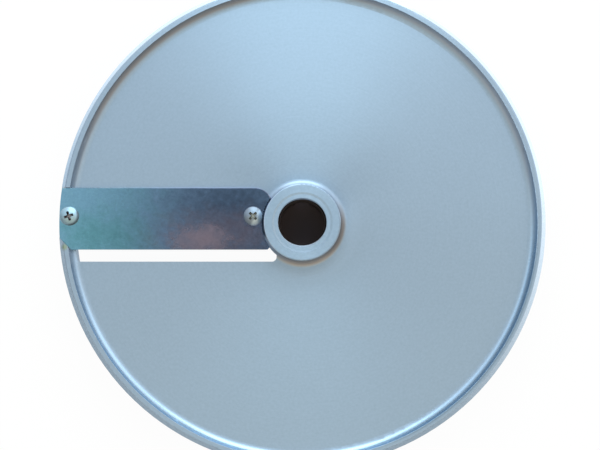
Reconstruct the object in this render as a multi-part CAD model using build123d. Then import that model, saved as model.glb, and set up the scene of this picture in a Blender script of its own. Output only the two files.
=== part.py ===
from build123d import *
import math
import os

# Slicing disc of a vegetable cutter: a turned aluminium casting that carries one steel blade on two screws.
# Millimetres. The origin is on the bore's axis at the hub's lower end, +Z points up out of the working face,
# the blade lies along -X and its cutting edge looks towards -Y.

# Casting
disc_diameter = 205.0
plate_thickness = 6.0
rim_width = 3.55           # top of the rim, with its outer bevel
rim_bevel_width = 1.9
rim_bevel_slope = 30.0     # degrees off level
rim_inner_round = 0.15     # edge between the rim's top and the cove inside it
rim_wall_lean = 13.3       # degrees off upright where the cove inside the rim ends
rim_foot_chamfer = 1.0
hub_diameter = 32.2
hub_rise = 10.0            # above the plate's working face
hub_drop = 16.0            # below the plate's underside
hub_top_round = 0.35
hub_cove = 2.75            # where the hub leaves the working face
hub_root_fillet = 1.6      # where the hub leaves the underside
hub_foot_chamfer = 1.0
bore_diameter = 19.0
bore_foot_chamfer = 0.8
bore_mouth_chamfer = 0.7
bore_land_width = 1.6      # sunk land on the hub's top, round the bore's mouth
bore_land_slope = 0.8      # width of the slope that leads up from it
bore_land_depth = 0.08
drive_slot_width = 6.0     # takes the cross pin of the machine's shaft
drive_slot_depth = 7.0

# Slicing slot
slot_opening = 5.0         # from the cutting edge to the slot's front wall
slot_cove_lap = 1.0        # how far the slot's outer end cuts into the rim's cove
slot_hub_gap = 1.15        # from the hub's wall to the slot's hollow end
slot_hub_lap = 6.4         # how far the slot runs past that hollow
slot_hub_round = 2.0       # corner beside the hub
slot_wall_left = 0.15      # least straight wall beside that round
slot_rim_round = 0.6       # corner beside the rim

# Blade
blade_thickness = 3.0
blade_width = 26.1
blade_edge_offset = 11.2   # from the axis to the cutting edge
blade_bevel_length = 8.0   # ground on the underside
blade_bevel_support = 1.0  # plate left under the bevel's heel
blade_edge_land = 0.15     # thickness left at the cutting edge
blade_end_inset = 0.3      # from the disc's outside
blade_hub_gap = 1.0        # to the hub's wall
blade_hub_lap = 4.4        # how far the blade's inner end runs past its clearance round the hub
blade_back_round = 7.2     # back corner of the inner end
blade_front_clip = 1.7     # front corner of the inner end
blade_tip_clip = 4.5       # front corner of the outer end
blade_edge_break = 0.25    # along the back
blade_notch_gap = 0.08     # to the walls of the rim's notch and of the seat beside the hub

# Screws
screw_diameter = 4.0
screw_head_diameter = 8.0
screw_head_height = 2.4
screw_head_side = 1.2      # height of the head's upright side
screw_head_round = 0.6
screw_tip_recess = 0.8     # tip above the plate's underside
screw_tip_chamfer = 0.5
screw_line_offset = 2.9    # from the disc's radius to the line of both screws
screw_rim_margin = 0.2     # from the head to the blade's outer end
screw_hub_margin = 0.85    # from the head to the hub
screw_thread_gap = 0.05    # to the tapped hole
screw_hole_gap = 0.25      # to the hole in the blade
recess_mouth_span = 4.4
recess_mouth_wing = 1.1
recess_root_span = 2.0
recess_root_wing = 0.6
recess_depth = 1.9
rim_screw_turn = 18.0      # degrees, how far each screw was tightened
hub_screw_turn = 45.0

cut_margin = 1.0           # how far a cutter runs past the faces that it opens

# Radii and heights that follow from the sizes above
disc_radius = disc_diameter / 2
hub_radius = hub_diameter / 2
bore_radius = bore_diameter / 2
rim_height = blade_thickness
cove_radius = rim_height / (1 - math.sin(math.radians(rim_wall_lean)))
rim_inner_radius = disc_radius - rim_width
face_radius = rim_inner_radius - cove_radius * math.cos(math.radians(rim_wall_lean))
underside_level = hub_drop
face_level = underside_level + plate_thickness
rim_level = face_level + rim_height
rim_bevel_drop = rim_bevel_width * math.tan(math.radians(rim_bevel_slope))
hub_level = face_level + hub_rise

blade_front = -blade_edge_offset
blade_back = blade_front + blade_width
blade_level = face_level + blade_thickness
blade_end_radius = disc_radius - blade_end_inset
blade_outer_tip = -math.sqrt(blade_end_radius**2 - blade_front**2)
hub_foot_radius = hub_radius + hub_cove
blade_hub_radius = hub_radius + blade_hub_gap
blade_inner_reach = blade_hub_radius - blade_hub_lap

slot_front = blade_front - slot_opening
slot_back = blade_front + blade_bevel_length - blade_bevel_support
slot_hub_radius = hub_radius + slot_hub_gap
slot_inner_end = slot_hub_radius - slot_hub_lap

screw_radius = screw_diameter / 2
screw_head_radius = screw_head_diameter / 2
screw_length = blade_level - underside_level - screw_tip_recess


def along_screw_line(radius):
    return math.sqrt(radius**2 - screw_line_offset**2)


rim_screw_reach = along_screw_line(blade_end_radius) - screw_rim_margin - screw_head_radius
hub_screw_reach = along_screw_line(hub_radius) + screw_hub_margin + screw_head_radius
rim_screw_place = (-rim_screw_reach, screw_line_offset)
hub_screw_place = (-hub_screw_reach, screw_line_offset)


def corner(sketch, x, y):
    return sketch.vertices().sort_by_distance((x, y, 0))[0]


def turned(profile):
    return revolve(Plane.XZ * profile, Axis.Z)


def span_box(low, high):
    size = [b - a for a, b in zip(low, high)]
    return Pos(*low) * Box(*size, align=(Align.MIN, Align.MIN, Align.MIN))


def casting_blank():
    rim_top_inside = (rim_inner_radius, rim_level)
    cove_foot = (face_radius, face_level)
    mouth_radius = bore_radius + bore_mouth_chamfer
    mouth_level = hub_level - bore_land_depth
    land_radius = mouth_radius + bore_land_width
    straight_sides = Polyline(
        cove_foot,
        (hub_radius, face_level),
        (hub_radius, hub_level),
        (land_radius + bore_land_slope, hub_level),
        (land_radius, mouth_level),
        (mouth_radius, mouth_level),
        (bore_radius, mouth_level - bore_mouth_chamfer),
        (bore_radius, bore_foot_chamfer),
        (bore_radius + bore_foot_chamfer, 0),
        (hub_radius, 0),
        (hub_radius, underside_level),
        (disc_radius, underside_level),
        (disc_radius, rim_level - rim_bevel_drop),
        (disc_radius - rim_bevel_width, rim_level),
        rim_top_inside,
    )
    cove = TangentArc(cove_foot, rim_top_inside, tangent=(1, 0))
    profile = make_face([*straight_sides.edges(), *cove.edges()])
    profile = fillet(corner(profile, rim_inner_radius, rim_level), rim_inner_round)
    profile = fillet(corner(profile, hub_radius, hub_level), hub_top_round)
    profile = fillet(corner(profile, hub_radius, face_level), hub_cove)
    profile = fillet(corner(profile, hub_radius, underside_level), hub_root_fillet)
    profile = chamfer(corner(profile, disc_radius, underside_level), rim_foot_chamfer)
    profile = chamfer(corner(profile, hub_radius, 0), hub_foot_chamfer)
    return turned(profile)


def slicing_slot():
    # The outer end follows the rim, and the inner end is hollowed round the hub.
    outline = Pos(-disc_radius, slot_front) * Rectangle(
        disc_radius - slot_inner_end, slot_back - slot_front, align=(Align.MIN, Align.MIN)
    )
    end_radius = face_radius + slot_cove_lap
    outline = (outline & Circle(end_radius)) - Circle(slot_hub_radius)
    hub_wall = -slot_front - math.sqrt(slot_hub_radius**2 - slot_inner_end**2)
    outer_end = -math.sqrt(end_radius**2 - slot_front**2)
    outline = fillet(corner(outline, outer_end, slot_front), slot_rim_round)
    # The round beside the hub can't be longer than the short wall that it takes.
    hub_round = min(slot_hub_round, hub_wall - slot_wall_left)
    outline = fillet(corner(outline, -slot_inner_end, slot_front), hub_round)
    foot = underside_level - hub_root_fillet - cut_margin
    return Pos(0, 0, foot) * extrude(outline, face_level + hub_cove + cut_margin - foot)


def corner_clip(start, way, front):
    # Takes a plan's front corner off at 45 degrees; the way is 1 at the inner end and -1 at the outer.
    far = start + way * disc_radius
    return make_face(Polyline((start, front), (far, front), (far, front + disc_radius), close=True))


def rim_notch():
    front = blade_front - blade_notch_gap
    back = blade_back + blade_notch_gap
    outer_end = -disc_radius - cut_margin
    inner_end = cut_margin - math.sqrt(face_radius**2 - back**2)
    plan = Pos(outer_end, front) * Rectangle(
        inner_end - outer_end, back - front, align=(Align.MIN, Align.MIN)
    )
    plan -= corner_clip(blade_outer_tip + blade_tip_clip - blade_notch_gap, -1, front)
    return Pos(0, 0, face_level) * extrude(plan, rim_height + cut_margin)


def blade_plan(gap=0.0):
    plan = Pos(-disc_radius, blade_front - gap) * Rectangle(
        disc_radius - blade_inner_reach + gap, blade_width + 2 * gap, align=(Align.MIN, Align.MIN)
    )
    return fillet(corner(plan, gap - blade_inner_reach, blade_back + gap), blade_back_round + gap)


def hub_seat():
    # The hub's cove is cut away under the blade's inner end.
    seat_radius = blade_hub_radius - blade_notch_gap
    plan = (blade_plan(blade_notch_gap) & Circle(hub_foot_radius)) - Circle(seat_radius)
    return Pos(0, 0, face_level) * extrude(plan, hub_cove)


def drive_slot():
    reach = hub_radius + cut_margin
    half = drive_slot_width / 2
    return span_box((-half, -reach, -cut_margin), (half, reach, drive_slot_depth))


def tapped_hole(place):
    foot = underside_level - hub_root_fillet - cut_margin
    depth = face_level + cut_margin - foot
    return Pos(*place, foot) * extrude(Circle(screw_radius + screw_thread_gap), depth)


def disc_body():
    body = casting_blank() - slicing_slot() - rim_notch() - hub_seat() - drive_slot()
    for place in (rim_screw_place, hub_screw_place):
        body -= tapped_hole(place)
    return body


def blade_outline():
    outline = (blade_plan() & Circle(blade_end_radius)) - Circle(blade_hub_radius)
    # The front edge ends at the clearance round the hub, or at the square end if that comes first.
    inner_tip = -max(blade_inner_reach, math.sqrt(blade_hub_radius**2 - blade_front**2))
    outline -= corner_clip(inner_tip - blade_front_clip, 1, blade_front)
    return outline - corner_clip(blade_outer_tip + blade_tip_clip, -1, blade_front)


def underside_bevel():
    edge_level = blade_level - blade_edge_land
    section = Polyline(
        (blade_front - cut_margin, face_level - cut_margin),
        (blade_front - cut_margin, edge_level),
        (blade_front, edge_level),
        (blade_front + blade_bevel_length, face_level),
        (blade_front + blade_bevel_length, face_level - cut_margin),
        close=True,
    )
    return Pos(-disc_radius) * extrude(Plane.YZ * make_face(section), disc_radius)


def blade_hole(place):
    depth = blade_thickness + 2 * cut_margin
    return Pos(*place, face_level - cut_margin) * extrude(Circle(screw_radius + screw_hole_gap), depth)


def slicing_blade():
    blade = Pos(0, 0, face_level) * extrude(blade_outline(), blade_thickness)
    back_edge = blade.faces().sort_by(Axis.Z)[-1].edges().sort_by(Axis.Y)[-1]
    blade = chamfer(back_edge, blade_edge_break)
    blade -= underside_bevel()
    for place in (rim_screw_place, hub_screw_place):
        blade -= blade_hole(place)
    return blade


def cross(span, wing):
    return Rectangle(span, wing) + Rectangle(wing, span)


def screw(place, turn):
    # Pan head: a low dome on an upright side, with a cross recess. The head rests on the blade's face.
    dome_height = screw_head_height - screw_head_side
    dome_radius = (screw_head_radius**2 + dome_height**2) / (2 * dome_height)
    crown = (0, screw_head_height)
    shoulder = (screw_head_radius, screw_head_side)
    section = Polyline(
        shoulder,
        (screw_head_radius, 0),
        (screw_radius, 0),
        (screw_radius, screw_tip_chamfer - screw_length),
        (screw_radius - screw_tip_chamfer, -screw_length),
        (0, -screw_length),
        crown,
    )
    dome = RadiusArc(crown, shoulder, dome_radius)
    profile = make_face([*section.edges(), *dome.edges()])
    solid = turned(fillet(corner(profile, *shoulder), screw_head_round))
    mouth = Pos(0, 0, screw_head_height) * cross(recess_mouth_span, recess_mouth_wing)
    root = Pos(0, 0, screw_head_height - recess_depth) * cross(recess_root_span, recess_root_wing)
    solid -= loft([mouth, root], ruled=True)
    return Pos(*place, blade_level) * Rot(0, 0, turn) * solid


pieces = {
    "disc_body": disc_body(),
    "slicing_blade": slicing_blade(),
    "rim_screw": screw(rim_screw_place, rim_screw_turn),
    "hub_screw": screw(hub_screw_place, hub_screw_turn),
}

os.makedirs("parts", exist_ok=True)
for name, piece in pieces.items():
    export_step(piece, f"parts/{name}.step")
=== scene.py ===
import math
import bpy
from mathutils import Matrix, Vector


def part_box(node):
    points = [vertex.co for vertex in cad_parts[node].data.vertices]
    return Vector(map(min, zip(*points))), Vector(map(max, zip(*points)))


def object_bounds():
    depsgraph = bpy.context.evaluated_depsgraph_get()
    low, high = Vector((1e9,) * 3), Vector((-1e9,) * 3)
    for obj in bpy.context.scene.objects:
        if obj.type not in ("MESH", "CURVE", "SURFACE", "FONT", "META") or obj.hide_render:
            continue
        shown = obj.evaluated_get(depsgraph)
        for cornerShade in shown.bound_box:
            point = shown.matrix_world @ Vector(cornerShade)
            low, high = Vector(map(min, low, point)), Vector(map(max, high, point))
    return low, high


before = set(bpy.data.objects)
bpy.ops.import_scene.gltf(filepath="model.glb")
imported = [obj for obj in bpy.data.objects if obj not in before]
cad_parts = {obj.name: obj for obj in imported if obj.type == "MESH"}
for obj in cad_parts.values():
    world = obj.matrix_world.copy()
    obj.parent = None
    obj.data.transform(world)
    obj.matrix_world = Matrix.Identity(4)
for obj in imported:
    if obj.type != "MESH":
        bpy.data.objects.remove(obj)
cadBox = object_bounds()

print("frame loaded:", ", ".join(sorted(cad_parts)))

mmPerMetre = 1000


def screenColor(red, green, blue):
    # 0-255 as seen on screen, to the linear values that sockets take
    levels = [v / 255 for v in (red, green, blue)]
    linear = [v / 12.92 if v <= 0.04045 else ((v + 0.055) / 1.055) ** 2.4 for v in levels]
    return (*linear, 1.0)


class Wire:
    def __init__(self, graph, socket):
        self.graph = graph
        self.socket = socket

    def out(self, name):
        return Wire(self.graph, self.socket.node.outputs[name])

    def reckon(self, how, left, right):
        return self.graph.add("ShaderNodeMath", {"operation": how}, {0: left, 1: right})

    def __add__(self, other):
        return self.reckon("ADD", self, other)

    def __radd__(self, other):
        return self.reckon("ADD", other, self)

    def __sub__(self, other):
        return self.reckon("SUBTRACT", self, other)

    def __rsub__(self, other):
        return self.reckon("SUBTRACT", other, self)

    def __mul__(self, other):
        return self.reckon("MULTIPLY", self, other)

    def __rmul__(self, other):
        return self.reckon("MULTIPLY", other, self)

    def __truediv__(self, other):
        return self.reckon("DIVIDE", self, other)

    def __pow__(self, other):
        return self.reckon("POWER", self, other)


def asColor(value):
    return value if isinstance(value, Wire) else screenColor(*value)


class Graph:
    def __init__(self, tree):
        self.tree = tree
        tree.nodes.clear()

    def add(self, kind, settings=None, sockets=None, out=0):
        node = self.tree.nodes.new(kind)
        for name, value in (settings or {}).items():
            setattr(node, name, value)
        for name, value in (sockets or {}).items():
            if isinstance(value, Wire):
                self.tree.links.new(value.socket, node.inputs[name])
            else:
                node.inputs[name].default_value = value
        return Wire(self, node.outputs[out]) if node.outputs else node

    def smooth(self, value, low, high):
        # 0 below low, 1 above high
        sockets = {"Value": value, "From Min": low, "From Max": high}
        return self.add("ShaderNodeMapRange", {"interpolation_type": "SMOOTHSTEP"}, sockets)

    def band(self, value, start, full, fade, end):
        # 1 from full to fade, 0 before start and after end
        return self.smooth(value, start, full) * (1 - self.smooth(value, fade, end))

    def side(self, x, y, way, edge):
        # 1 on the side that a level way from the axis points to
        return self.smooth((way[0] * x + way[1] * y) / self.length(x, y), *edge)

    def spot(self, x, y, centre, inner, outer):
        # 1 inside the inner radius, 0 past the outer one
        return 1 - self.smooth(self.length(x - centre[0], y - centre[1]), inner, outer)

    def oval(self, x, y, centre, size, wander, edge):
        # 1 in the middle of an oval that has an uneven edge, 0 outside it
        away = self.length((x - centre[0]) / size[0], (y - centre[1]) / size[1])
        return 1 - self.smooth(away + wander, *edge)

    def length(self, x, y):
        return (x * x + y * y) ** 0.5

    def larger(self, left, right):
        return self.add("ShaderNodeMath", {"operation": "MAXIMUM"}, {0: left, 1: right})

    def blend(self, amount, under, over):
        sockets = {0: amount, 6: asColor(under), 7: asColor(over)}
        return self.add("ShaderNodeMix", {"data_type": "RGBA"}, sockets, out=2)

    def scaled(self, color, amount):
        start = color if isinstance(color, Wire) else screenColor(*color)[:3]
        return self.add("ShaderNodeVectorMath", {"operation": "SCALE"}, {0: start, "Scale": amount})

    def noise(self, where, scale, detail=2.0, rough=0.5):
        sockets = {"Vector": where, "Scale": scale, "Detail": detail, "Roughness": rough}
        return self.add("ShaderNodeTexNoise", {"noise_dimensions": "3D"}, sockets)

    def lineNoise(self, along, scale, detail=2.0):
        sockets = {"W": along, "Scale": scale, "Detail": detail}
        return self.add("ShaderNodeTexNoise", {"noise_dimensions": "1D"}, sockets)

    def sway(self, noise, amount):
        # a noise, which runs from 0 to 1, as a change to either side of none
        return amount * (noise - 0.5)

    def bump(self, strength, depth, height):
        return self.add("ShaderNodeBump", None, {"Strength": strength, "Distance": depth, "Height": height})

    def millimetres(self):
        where = self.add("ShaderNodeTexCoord", out="Object")
        inMm = self.scaled(where, mmPerMetre)
        parts = self.add("ShaderNodeSeparateXYZ", None, {0: inMm})
        return inMm, parts.out("X"), parts.out("Y"), parts.out("Z")


def newFinish(name):
    material = bpy.data.materials.new(name)
    material.use_nodes = True
    return material, Graph(material.node_tree)


def finishNode(node, material):
    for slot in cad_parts[node].material_slots:
        slot.material = material


# camera: the photograph looks almost straight down, from a little towards -Y
view = {
    "imageWidth": 600,
    "imageHeight": 450,
    "discWidth": 487.5,            # pixels across the disc
    "discCentre": (302.3, 223.0),  # pixels, its axis at the rim's level
    "elevation": 88.0,
    "distance": 0.6,
}
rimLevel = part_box("slicing_blade")[1].z
perPixel = (cadBox[1].x - cadBox[0].x) / view["discWidth"]
tilt = math.radians(90 - view["elevation"])
aim = Vector((
    (view["imageWidth"] / 2 - view["discCentre"][0]) * perPixel,
    (view["discCentre"][1] - view["imageHeight"] / 2) * perPixel,
    rimLevel,
))
cameraData = bpy.data.cameras.new("camera")
cameraData.sensor_fit = "HORIZONTAL"
cameraData.lens = cameraData.sensor_width * view["distance"] / (view["imageWidth"] * perPixel)
camera = bpy.data.objects.new("camera", cameraData)
bpy.context.scene.collection.objects.link(camera)
camera.rotation_euler = (tilt, 0, 0)
camera.location = aim + view["distance"] * Vector((0, -math.sin(tilt), math.cos(tilt)))
bpy.context.scene.camera = camera
bpy.context.scene.view_settings.view_transform = "Standard"
print("camera at", [round(v, 4) for v in camera.location], "lens", round(cameraData.lens, 1))


# light: three broad soft lamps behind the disc, in a room that is dim low down and has a dark patch overhead
light = {
    # glow is the brightness of a lamp's face, 1 is white
    "keyLamp": {"place": (0.015, 0.36, 0.33), "size": (0.36, 0.40), "glow": 2.2, "color": (213, 243, 255)},
    "sideLamp": {"place": (0.42, 0.24, 0.44), "size": (0.40, 0.36), "glow": 0.6, "color": (200, 234, 255)},
    "fillLamp": {"place": (-0.36, 0.27, 0.44), "size": (0.62, 0.5), "glow": 0.22, "color": (120, 205, 255)},
    "roomGlow": 1.4,
    "highBehind": (248, 250, 252),
    "highFront": (251, 237, 206),
    "behindEdge": (-0.5, 0.5),
    "lowLit": (255, 252, 250),
    "lowDim": (138, 144, 150),
    "litWay": (0.4, 0.917),        # level direction that the low part of the room is brightest in
    "litEdge": (-0.6, 0.75),
    "lift": (0.38, 1.06),          # sine of the height at which the room goes from low to high
    "overhead": (-0.045, 0.03),    # direction of the dark patch, off the zenith
    "upperHalf": (0.1, 0.3),       # keeps that patch out of the lower half
    "tealColor": (146, 185, 201),
    "tealEdge": (0.14, 0.3),
    "darkColor": (30, 34, 52),
    "darkEdge": (0.0, 0.13),
}


def softLamp(name, place, size, glow, color):
    lampData = bpy.data.lights.new(name, "AREA")
    lampData.shape = "RECTANGLE"
    lampData.size, lampData.size_y = size
    lampData.energy = glow * math.pi * size[0] * size[1]
    lampData.color = screenColor(*color)[:3]
    lamp = bpy.data.objects.new(name, lampData)
    bpy.context.scene.collection.objects.link(lamp)
    lamp.location = place
    lamp.rotation_euler = (aim - Vector(place)).to_track_quat("-Z", "Y").to_euler()
    lamp.visible_camera = False


for lamp in ("keyLamp", "sideLamp", "fillLamp"):
    softLamp(lamp, **light[lamp])

world = bpy.data.worlds.new("room")
bpy.context.scene.world = world
world.use_nodes = True
g = Graph(world.node_tree)
towards = g.add("ShaderNodeTexCoord", out="Generated")
parts = g.add("ShaderNodeSeparateXYZ", None, {0: towards})
x, y, z = parts.out("X"), parts.out("Y"), parts.out("Z")
lit = g.smooth(light["litWay"][0] * x + light["litWay"][1] * y, *light["litEdge"])
low = g.blend(lit, light["lowDim"], light["lowLit"])
high = g.blend(g.smooth(y, *light["behindEdge"]), light["highFront"], light["highBehind"])
room = g.blend(g.smooth(z, *light["lift"]), low, high)
above = g.smooth(z, *light["upperHalf"])
teal = g.spot(x, y, light["overhead"], *light["tealEdge"])
room = g.blend(teal * above, room, light["tealColor"])
dark = g.spot(x, y, light["overhead"], *light["darkEdge"])
room = g.blend(dark * above, room, light["darkColor"])
room = g.scaled(room, light["roomGlow"])
glow = g.add("ShaderNodeBackground", None, {"Color": room, "Strength": 1.0})
g.add("ShaderNodeOutputWorld", None, {"Surface": glow})
print("light and room ready")


# floor: white to the eye, with the disc's shadow left on it and painted shade under the hub
floorLook = {
    "size": 6.0,
    "color": (243, 243, 243),
    "grainScale": 0.05,
    "grainTone": 0.04,
    "whiteColor": (255, 255, 255),
    "white": 0.95,                 # share that is plain white, the rest takes light and shadow
    "underHub": (15.5, 16.5),      # mm, inside this the floor is not whitened and takes the painted shade colour
    "shade": (112, 100, 100),
}
bpy.ops.object.select_all(action="DESELECT")
bpy.ops.mesh.primitive_plane_add(size=floorLook["size"], location=(0, 0, 0))
floor = bpy.context.object
floor.name = "floor"
material, g = newFinish("floorPaper")
inMm, x, y, z = g.millimetres()
clear = g.smooth(g.length(x, y), *floorLook["underHub"])
grain = g.noise(inMm, floorLook["grainScale"])
# painted shade: under the hub the floor turns to the darker shade colour
paper = g.blend(clear, floorLook["shade"], floorLook["color"])
paper = g.scaled(paper, 1 + g.sway(grain, floorLook["grainTone"]))
matte = g.add("ShaderNodeBsdfPrincipled", None, {
    "Base Color": paper, "Roughness": 1.0, "Specular IOR Level": 0.0,
})
white = g.add("ShaderNodeEmission", None, {"Color": asColor(floorLook["whiteColor"]), "Strength": 1.0})
ray = g.add("ShaderNodeLightPath", out="Is Camera Ray")
straight = g.larger(g.larger(ray, ray.out("Is Glossy Ray")), ray.out("Is Transmission Ray"))
amount = straight * clear * floorLook["white"]
surface = g.add("ShaderNodeMixShader", None, {0: amount, 1: matte, 2: white})
g.add("ShaderNodeOutputMaterial", None, {"Surface": surface})
floor.data.materials.append(material)
print("floor ready")


# casting: turned aluminium, satin on the face, brighter on the rim and the hub, partly by painted highlight;
# painted shade and light are added below
casting = {
    "faceColor": (155, 173, 191),
    "machinedAndHighlightColor": (174, 192, 211),  # hub's machined top, and a painted highlight on a crescent at the back of its foot
    "coveHighlightColor": (165, 191, 213),    # front of the cove inside the rim, lighter as painted highlight
    "edgeColor": (207, 226, 242),    # bright-turned bevel round the outside
    # bore wall, painted dark as shade
    "boreShadeColor": (85, 78, 78),
    "mouthShadeColor": (34, 30, 30),      # painted shade on the bevel of the bore's mouth
    "footShadeColor": (180, 170, 163),    # painted shade on the front of the cove round the hub's foot
    "lipShadeColor": (108, 116, 124),     # painted shade on the front of the hub's upper edge
    "cornerLeft": (186, 177, 170),   # painted shade in the corner inside the rim, at the back
    "cornerRight": (177, 182, 190),
    "rimBandShadeColor": (78, 104, 126),   # painted shade in a band along the rim
    "stainColor": (152, 168, 146),   # speck beside the blade

    # mm from the axis: where a band starts, is full, fades and ends
    "stepBand": (11.6, 11.9, 12.5, 12.8),      # painted shade in a ring round the sunk land on the hub's top
    "lipBand": (15.2, 15.9, 16.1, 16.2),
    "footBand": (16.0, 16.2, 17.4, 19.0),
    "highlightCrescentBand": (16.0, 16.3, 17.6, 18.4),
    "paintedLightFrontBand": (17.5, 18.5, 19.0, 27.0),    # plate in front of the hub, lightened as painted light
    "paintedShadeBehindBand": (17.5, 18.5, 22.0, 62.0),    # plate behind the hub, darkened as painted shade
    "coveBand": (95.9, 97.1, 98.8, 99.0),
    "cornerBand": (96.4, 97.8, 98.8, 98.95),
    "leftRimShadeBand": (96.9, 97.6, 98.7, 99.0),
    "rightRimShadeBand": (97.0, 97.8, 99.2, 100.2),
    "hubEdge": (15.9, 16.2),
    "edgeFrom": (100.5, 100.8),
    "edgeBehind": 0.5,               # how much further out that is at the back
    "boreReach": 9.62,
    "boreWiden": 0.5,                # the mouth's bevel is painted darkest on both sides
    "boreSoft": (-0.08, 0.08),

    # mm above the hub's lower end
    "stainLevel": (21.0, 21.5),
    "faceLevel": (21.5, 22.0),
    "edgeLevel": (23.0, 23.3),
    "lipLevel": (31.0, 31.4),
    "mouthLevel": (31.1, 31.3),
    "stepLevel": (31.5, 31.8),
    "hubLevel": (31.8, 31.9),

    # sides of the disc, as level directions and how squarely a place lies there, or mm from the axis
    "frontLean": 0.2,
    "frontEdge": (-40.0, 20.0),
    "hubFrontWay": (0.6, -0.8),
    "hubFrontEdge": (-0.1, 0.7),
    "backWay": (0.0, 1.0),
    "paintedShadeBehindEdge": (0.2, 0.8),
    "highlightCrescentEdge": (0.8, 0.98),
    "footShadeWay": (1.0, 0.0),
    "footShadeEdge": (0.45, 1.0),
    "cornerBack": (-10.0, 60.0),
    "cornerTurn": (-40.0, 40.0),
    "rightRimShadeWay": (0.8, -0.6),
    "rightRimShadeEdge": (0.75, 0.97),
    "leftRimShadeWay": (-1.0, 0.0),
    "leftRimShadeEdge": (0.85, 0.97),
    "stainPlace": (-100.0, -10.1),
    "stainSize": (0.2, 2.0),

    # how much of each
    "stepShadeAmount": 0.14,
    "lipShadeAmount": 0.6,
    "footShadeAmount": 0.9,
    "footShadeRight": 0.55,
    "paintedLightFront": 0.15,
    "paintedShadeBehind": 0.11,
    "cornerShadeAmount": 0.8,
    "cornerTone": 0.88,
    "cornerSlope": 0.003,            # painted shade lighter by this for each mm to the right
    "rightRimShade": 0.42,
    "leftRimShadeAmount": 0.4,

    # noises: scale, detail, roughness
    "grainNoise": (0.9, 3.0, 0.6),
    "cloudNoise": (0.02, 2.0),
    "markNoise": (1.6, 4.0),         # turning marks
    "grainTone": 0.2,
    "cloudTone": 0.05,
    "markTone": 0.05,

    "faceRough": 0.46,
    "hubRough": 0.3,
    "coveRough": 0.26,
    "edgeRough": 0.24,
    "boreRougher": 0.25,
    "grainRough": 0.08,
    "bump": 0.15,
    "bumpDepth": 0.0001,
    "grainBump": 0.5,
    "turning": 0.65,                 # how strongly the turning marks stretch the gloss
    "turningAngle": 0.25,            # of a full turn
}
material, g = newFinish("castAluminium")
inMm, x, y, z = g.millimetres()
radius = g.length(x, y)
onFace = g.smooth(z, *casting["faceLevel"])
front = 1 - g.smooth(y - casting["frontLean"] * x, *casting["frontEdge"])
hubFront = g.side(x, y, casting["hubFrontWay"], casting["hubFrontEdge"])
grain = g.noise(inMm, *casting["grainNoise"])
clouds = g.noise(inMm, *casting["cloudNoise"])
marks = g.lineNoise(radius, *casting["markNoise"])

# bare metal
hub = 1 - g.smooth(radius, *casting["hubEdge"])
# painted highlight: a crescent at the back of the hub's foot takes the bright colour
paintedHighlightCrescent = g.band(radius, *casting["highlightCrescentBand"]) * onFace
paintedHighlightCrescent = paintedHighlightCrescent * g.side(x, y, casting["backWay"], casting["highlightCrescentEdge"])
color = g.blend(g.larger(hub, paintedHighlightCrescent), casting["faceColor"], casting["machinedAndHighlightColor"])
# painted highlight: the front of the cove inside the rim is lighter; it is also glossier, below
coveGlossAndHighlight = g.band(radius, *casting["coveBand"]) * onFace * front
color = g.blend(coveGlossAndHighlight, color, casting["coveHighlightColor"])
edge = g.smooth(radius - casting["edgeBehind"] * (1 - front), *casting["edgeFrom"])
edge = edge * g.smooth(z, *casting["edgeLevel"])
color = g.blend(edge, color, casting["edgeColor"])
tone = 1 + g.sway(grain, casting["grainTone"]) + g.sway(clouds, casting["cloudTone"])
tone = tone + g.sway(marks, casting["markTone"])
# painted light: the plate in front of the hub is lighter
tone = tone + casting["paintedLightFront"] * g.band(radius, *casting["paintedLightFrontBand"]) * hubFront
# painted shade: the plate behind the hub is darker
paintedShadeBehind = g.band(radius, *casting["paintedShadeBehindBand"]) * g.side(x, y, casting["backWay"], casting["paintedShadeBehindEdge"])
tone = tone - casting["paintedShadeBehind"] * paintedShadeBehind
# painted shade: a darker ring at the step round the sunk land
stepShade = g.band(radius, *casting["stepBand"]) * g.smooth(z, *casting["stepLevel"])
color = g.scaled(color, tone - casting["stepShadeAmount"] * stepShade)

# bore and hub: painted shade
# painted shade: the bore's wall is painted dark, reaching furthest out on both sides of its mouth
boreEdge = casting["boreReach"] + casting["boreWiden"] * (x / radius) ** 2
paintedBoreShade = 1 - g.smooth(radius - boreEdge, *casting["boreSoft"])
paintedBoreShade = paintedBoreShade * (1 - g.smooth(z, *casting["hubLevel"]))
color = g.blend(paintedBoreShade, color, casting["boreShadeColor"])
color = g.blend(paintedBoreShade * g.smooth(z, *casting["mouthLevel"]), color, casting["mouthShadeColor"])
# painted shade: the front of the hub's foot is darker, more so to the right
paintedFootShade = g.band(radius, *casting["footBand"]) * onFace * hubFront
footShadeRight = g.side(x, y, casting["footShadeWay"], casting["footShadeEdge"])
footShadeColor = g.scaled(casting["footShadeColor"], 1 - casting["footShadeRight"] * footShadeRight)
color = g.blend(casting["footShadeAmount"] * paintedFootShade, color, footShadeColor)
# painted shade: the front of the hub's upper edge is darker
lipShade = g.band(radius, *casting["lipBand"]) * g.smooth(z, *casting["lipLevel"]) * hubFront
color = g.blend(casting["lipShadeAmount"] * lipShade, color, casting["lipShadeColor"])

# rim: painted shade and the speck
# painted shade: the corner inside the rim is darker at the back
cornerShade = g.band(radius, *casting["cornerBand"]) * onFace * g.smooth(y, *casting["cornerBack"])
cornerShadeColor = g.blend(g.smooth(x, *casting["cornerTurn"]), casting["cornerLeft"], casting["cornerRight"])
cornerShadeColor = g.scaled(cornerShadeColor, casting["cornerTone"] + casting["cornerSlope"] * x)
color = g.blend(casting["cornerShadeAmount"] * cornerShade, color, cornerShadeColor)
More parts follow.
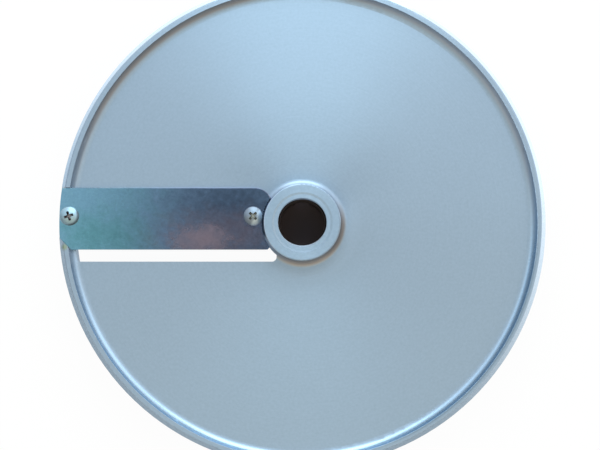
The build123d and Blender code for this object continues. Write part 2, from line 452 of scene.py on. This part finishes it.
# painted shade: a darker blue band along the rim, on the right and on the left
for name, amount in (("rightRimShade", casting["rightRimShade"]), ("leftRimShade", casting["leftRimShadeAmount"])):
    rimBandShade = g.band(radius, *casting[name + "Band"]) * onFace
    rimBandShade = rimBandShade * g.side(x, y, casting[name + "Way"], casting[name + "Edge"])
    color = g.blend(amount * rimBandShade, color, casting["rimBandShadeColor"])
stain = g.spot(x, y, casting["stainPlace"], *casting["stainSize"]) * g.smooth(z, *casting["stainLevel"])
color = g.blend(stain, color, casting["stainColor"])

rough = casting["faceRough"] + g.sway(grain, casting["grainRough"]) + casting["boreRougher"] * paintedBoreShade
for place, itsRough in ((hub, "hubRough"), (coveGlossAndHighlight, "coveRough"), (edge, "edgeRough")):
    rough = rough + place * (casting[itsRough] - casting["faceRough"])
bump = g.bump(casting["bump"], casting["bumpDepth"], marks + casting["grainBump"] * grain)
shader = g.add("ShaderNodeBsdfPrincipled", None, {
    "Base Color": color, "Metallic": 1.0, "Roughness": rough, "Normal": bump,
    "Anisotropic": casting["turning"], "Anisotropic Rotation": casting["turningAngle"],
})
g.add("ShaderNodeOutputMaterial", None, {"Surface": shader})
finishNode("disc_body", material)
print("casting finished")


# blade: cold-rolled stainless strip, with a dark, rougher painted reflection along the middle of its edge, and
# tints that are partly painted reflection
blade = {
    "color": (178, 198, 208),
    "dull": (166, 185, 197),
    "dullEdge": (0.35, 0.65),
    "violet": (182, 186, 206),       # towards the hub, partly the steel's own tint and partly painted reflection
    "violetEdge": (-75.0, -45.0),
    "violetWander": 40.0,
    "green": (148, 182, 182),        # towards the rim, partly the steel's own tint and partly painted reflection
    "greenPlace": (-86.0, -5.0),
    "greenSize": (26.0, 13.0),
    "rough": 0.1,
    "paintedReflection": 0.9,
    "paintedReflectionColor": (118, 106, 117),
    "paintedReflectionTone": 0.4,
    "paintedReflectionRough": 0.45,
    "paintedReflectionPlace": (-42.0, -6.5),
    "paintedReflectionSize": (21.0, 9.0),
    "faintPaintedReflection": 0.36,
    "faintPaintedReflectionPlace": (-36.0, -5.0),
    "faintPaintedReflectionSize": (34.0, 14.0),
    "ovalEdge": (0.1, 1.15),
    # noises: scale, detail, roughness
    "blotchNoise": (0.35, 4.0, 0.65),
    "blotchWander": 0.9,             # how far it shifts the ovals' edges
    "blotchTone": 0.5,
    "blotchRough": 0.04,
    "fineNoise": (0.9, 3.0, 0.6),
    "fineTone": 0.32,
    "fineRough": 0.03,
    "broadNoise": (0.15, 2.0),
    "broadWander": 0.6,
    "bump": 0.02,
    "bumpDepth": 0.0001,
}
material, g = newFinish("bladeSteel")
inMm, x, y, z = g.millimetres()
blotch = g.noise(inMm, *blade["blotchNoise"])
fine = g.noise(inMm, *blade["fineNoise"])
broad = g.noise(inMm, *blade["broadNoise"])
wander = g.sway(blotch, blade["blotchWander"]) + g.sway(broad, blade["broadWander"])
green, paintedReflection, faintPaintedReflection = (
    g.oval(x, y, blade[name + "Place"], blade[name + "Size"], wander, blade["ovalEdge"])
    for name in ("green", "paintedReflection", "faintPaintedReflection")
)
color = g.blend(g.smooth(blotch, *blade["dullEdge"]), blade["color"], blade["dull"])
# partly painted reflection: a violet tint towards the hub and a green one towards the rim
byHub = g.smooth(x + g.sway(broad, blade["violetWander"]), *blade["violetEdge"])
color = g.blend(byHub, color, blade["violet"])
color = g.blend(green, color, blade["green"])
color = g.scaled(color, 1 + g.sway(blotch, blade["blotchTone"]) + g.sway(fine, blade["fineTone"]))
rough = blade["rough"] + g.sway(blotch, blade["blotchRough"]) + g.sway(fine, blade["fineRough"])
bump = g.bump(blade["bump"], blade["bumpDepth"], fine + blotch)
clean = g.add("ShaderNodeBsdfPrincipled", None, {
    "Base Color": color, "Metallic": 1.0, "Roughness": rough, "Normal": bump,
})
# painted reflection: a dark pinkish, rougher patch along the middle of the edge, fainter round it
color = g.scaled(blade["paintedReflectionColor"], 1 + g.sway(fine, blade["paintedReflectionTone"]))
paintedReflectionShader = g.add("ShaderNodeBsdfPrincipled", None, {
    "Base Color": color, "Metallic": 1.0, "Roughness": blade["paintedReflectionRough"], "Normal": bump,
})
amount = g.larger(blade["paintedReflection"] * paintedReflection, blade["faintPaintedReflection"] * faintPaintedReflection)
surface = g.add("ShaderNodeMixShader", None, {0: amount, 1: clean, 2: paintedReflectionShader})
g.add("ShaderNodeOutputMaterial", None, {"Surface": surface})
finishNode("slicing_blade", material)
print("blade finished")


# screws: plated pan heads, the one beside the hub painted darker as shade, painted shade and light in the
# recesses, painted shade on one side of the rim screw's head and a painted highlight on the hub screw's
screws = {
    "rimColor": (150, 178, 192),
    # the hub screw's colour is darker, as painted shade
    "hubColor": (128, 140, 153),
    "rimPaintedRecess": (138, 130, 130),
    "hubPaintedRecess": (165, 165, 158),
    # painted shade on one side of the rim screw's head
    "rimShade": (100, 114, 124),
    "hubShade": (176, 192, 204),     # painted highlight: brighter on this side than on the other
    "apart": 10.0,                   # mm off each axis, where the one colouring starts to turn into the other
    "recessReach": (2.2, 2.4),       # mm from a screw's axis
    "recessDepth": (0.7, 0.4),       # mm under the top of the head
    "shadeReach": (2.9, 3.7),
    "hubShadeCloser": 1.5,           # mm, how much nearer its axis the hub screw's shade starts
    "shadeWay": (0.85, -0.5),
    "shadeEdge": (0.5, 2.5),
    "hubShadeSteeper": 1.0,
    "fineNoise": (3.0, 3.0, 0.6),    # scale, detail, roughness
    "fineTone": 0.1,
    "rough": 0.36,
    "fineRough": 0.1,
}
heads = {node: (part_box(node)[0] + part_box(node)[1]) / 2 * mmPerMetre for node in ("rim_screw", "hub_screw")}
headTop = max(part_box(node)[1].z for node in heads) * mmPerMetre
rimX, hubX = heads["rim_screw"].x, heads["hub_screw"].x
material, g = newFinish("screwSteel")
inMm, x, y, z = g.millimetres()
fine = g.noise(inMm, *screws["fineNoise"])
byHub = g.smooth(x, rimX + screws["apart"], hubX - screws["apart"])
fromAxisX = x - (rimX + byHub * (hubX - rimX))
fromAxisY = y - heads["rim_screw"].y
fromAxis = g.length(fromAxisX, fromAxisY)
# painted shade darkens the rim screw's recess, painted light lightens the hub screw's
paintedRecess = 1 - g.smooth(fromAxis, *screws["recessReach"])
paintedRecess = paintedRecess * (1 - g.smooth(z, *(headTop - depth for depth in screws["recessDepth"])))
# one side of each head: painted shade on the rim screw, painted highlight on the hub screw
shade = g.smooth(fromAxis + screws["hubShadeCloser"] * byHub, *screws["shadeReach"])
towardsShade = screws["shadeWay"][0] * fromAxisX + screws["shadeWay"][1] * fromAxisY
shadeFull = screws["shadeEdge"][1] - screws["hubShadeSteeper"] * byHub
shade = shade * g.smooth(towardsShade, screws["shadeEdge"][0], shadeFull)
color, shadeColor, paintedRecessColor = (
    g.blend(byHub, screws["rim" + part], screws["hub" + part]) for part in ("Color", "Shade", "PaintedRecess")
)
color = g.blend(shade, color, shadeColor)
color = g.blend(paintedRecess, color, paintedRecessColor)
color = g.scaled(color, 1 + g.sway(fine, screws["fineTone"]))
shader = g.add("ShaderNodeBsdfPrincipled", None, {
    "Base Color": color, "Metallic": 1.0, "Roughness": screws["rough"] + g.sway(fine, screws["fineRough"]),
})
g.add("ShaderNodeOutputMaterial", None, {"Surface": shader})
for node in heads:
    finishNode(node, material)
print("screws finished")
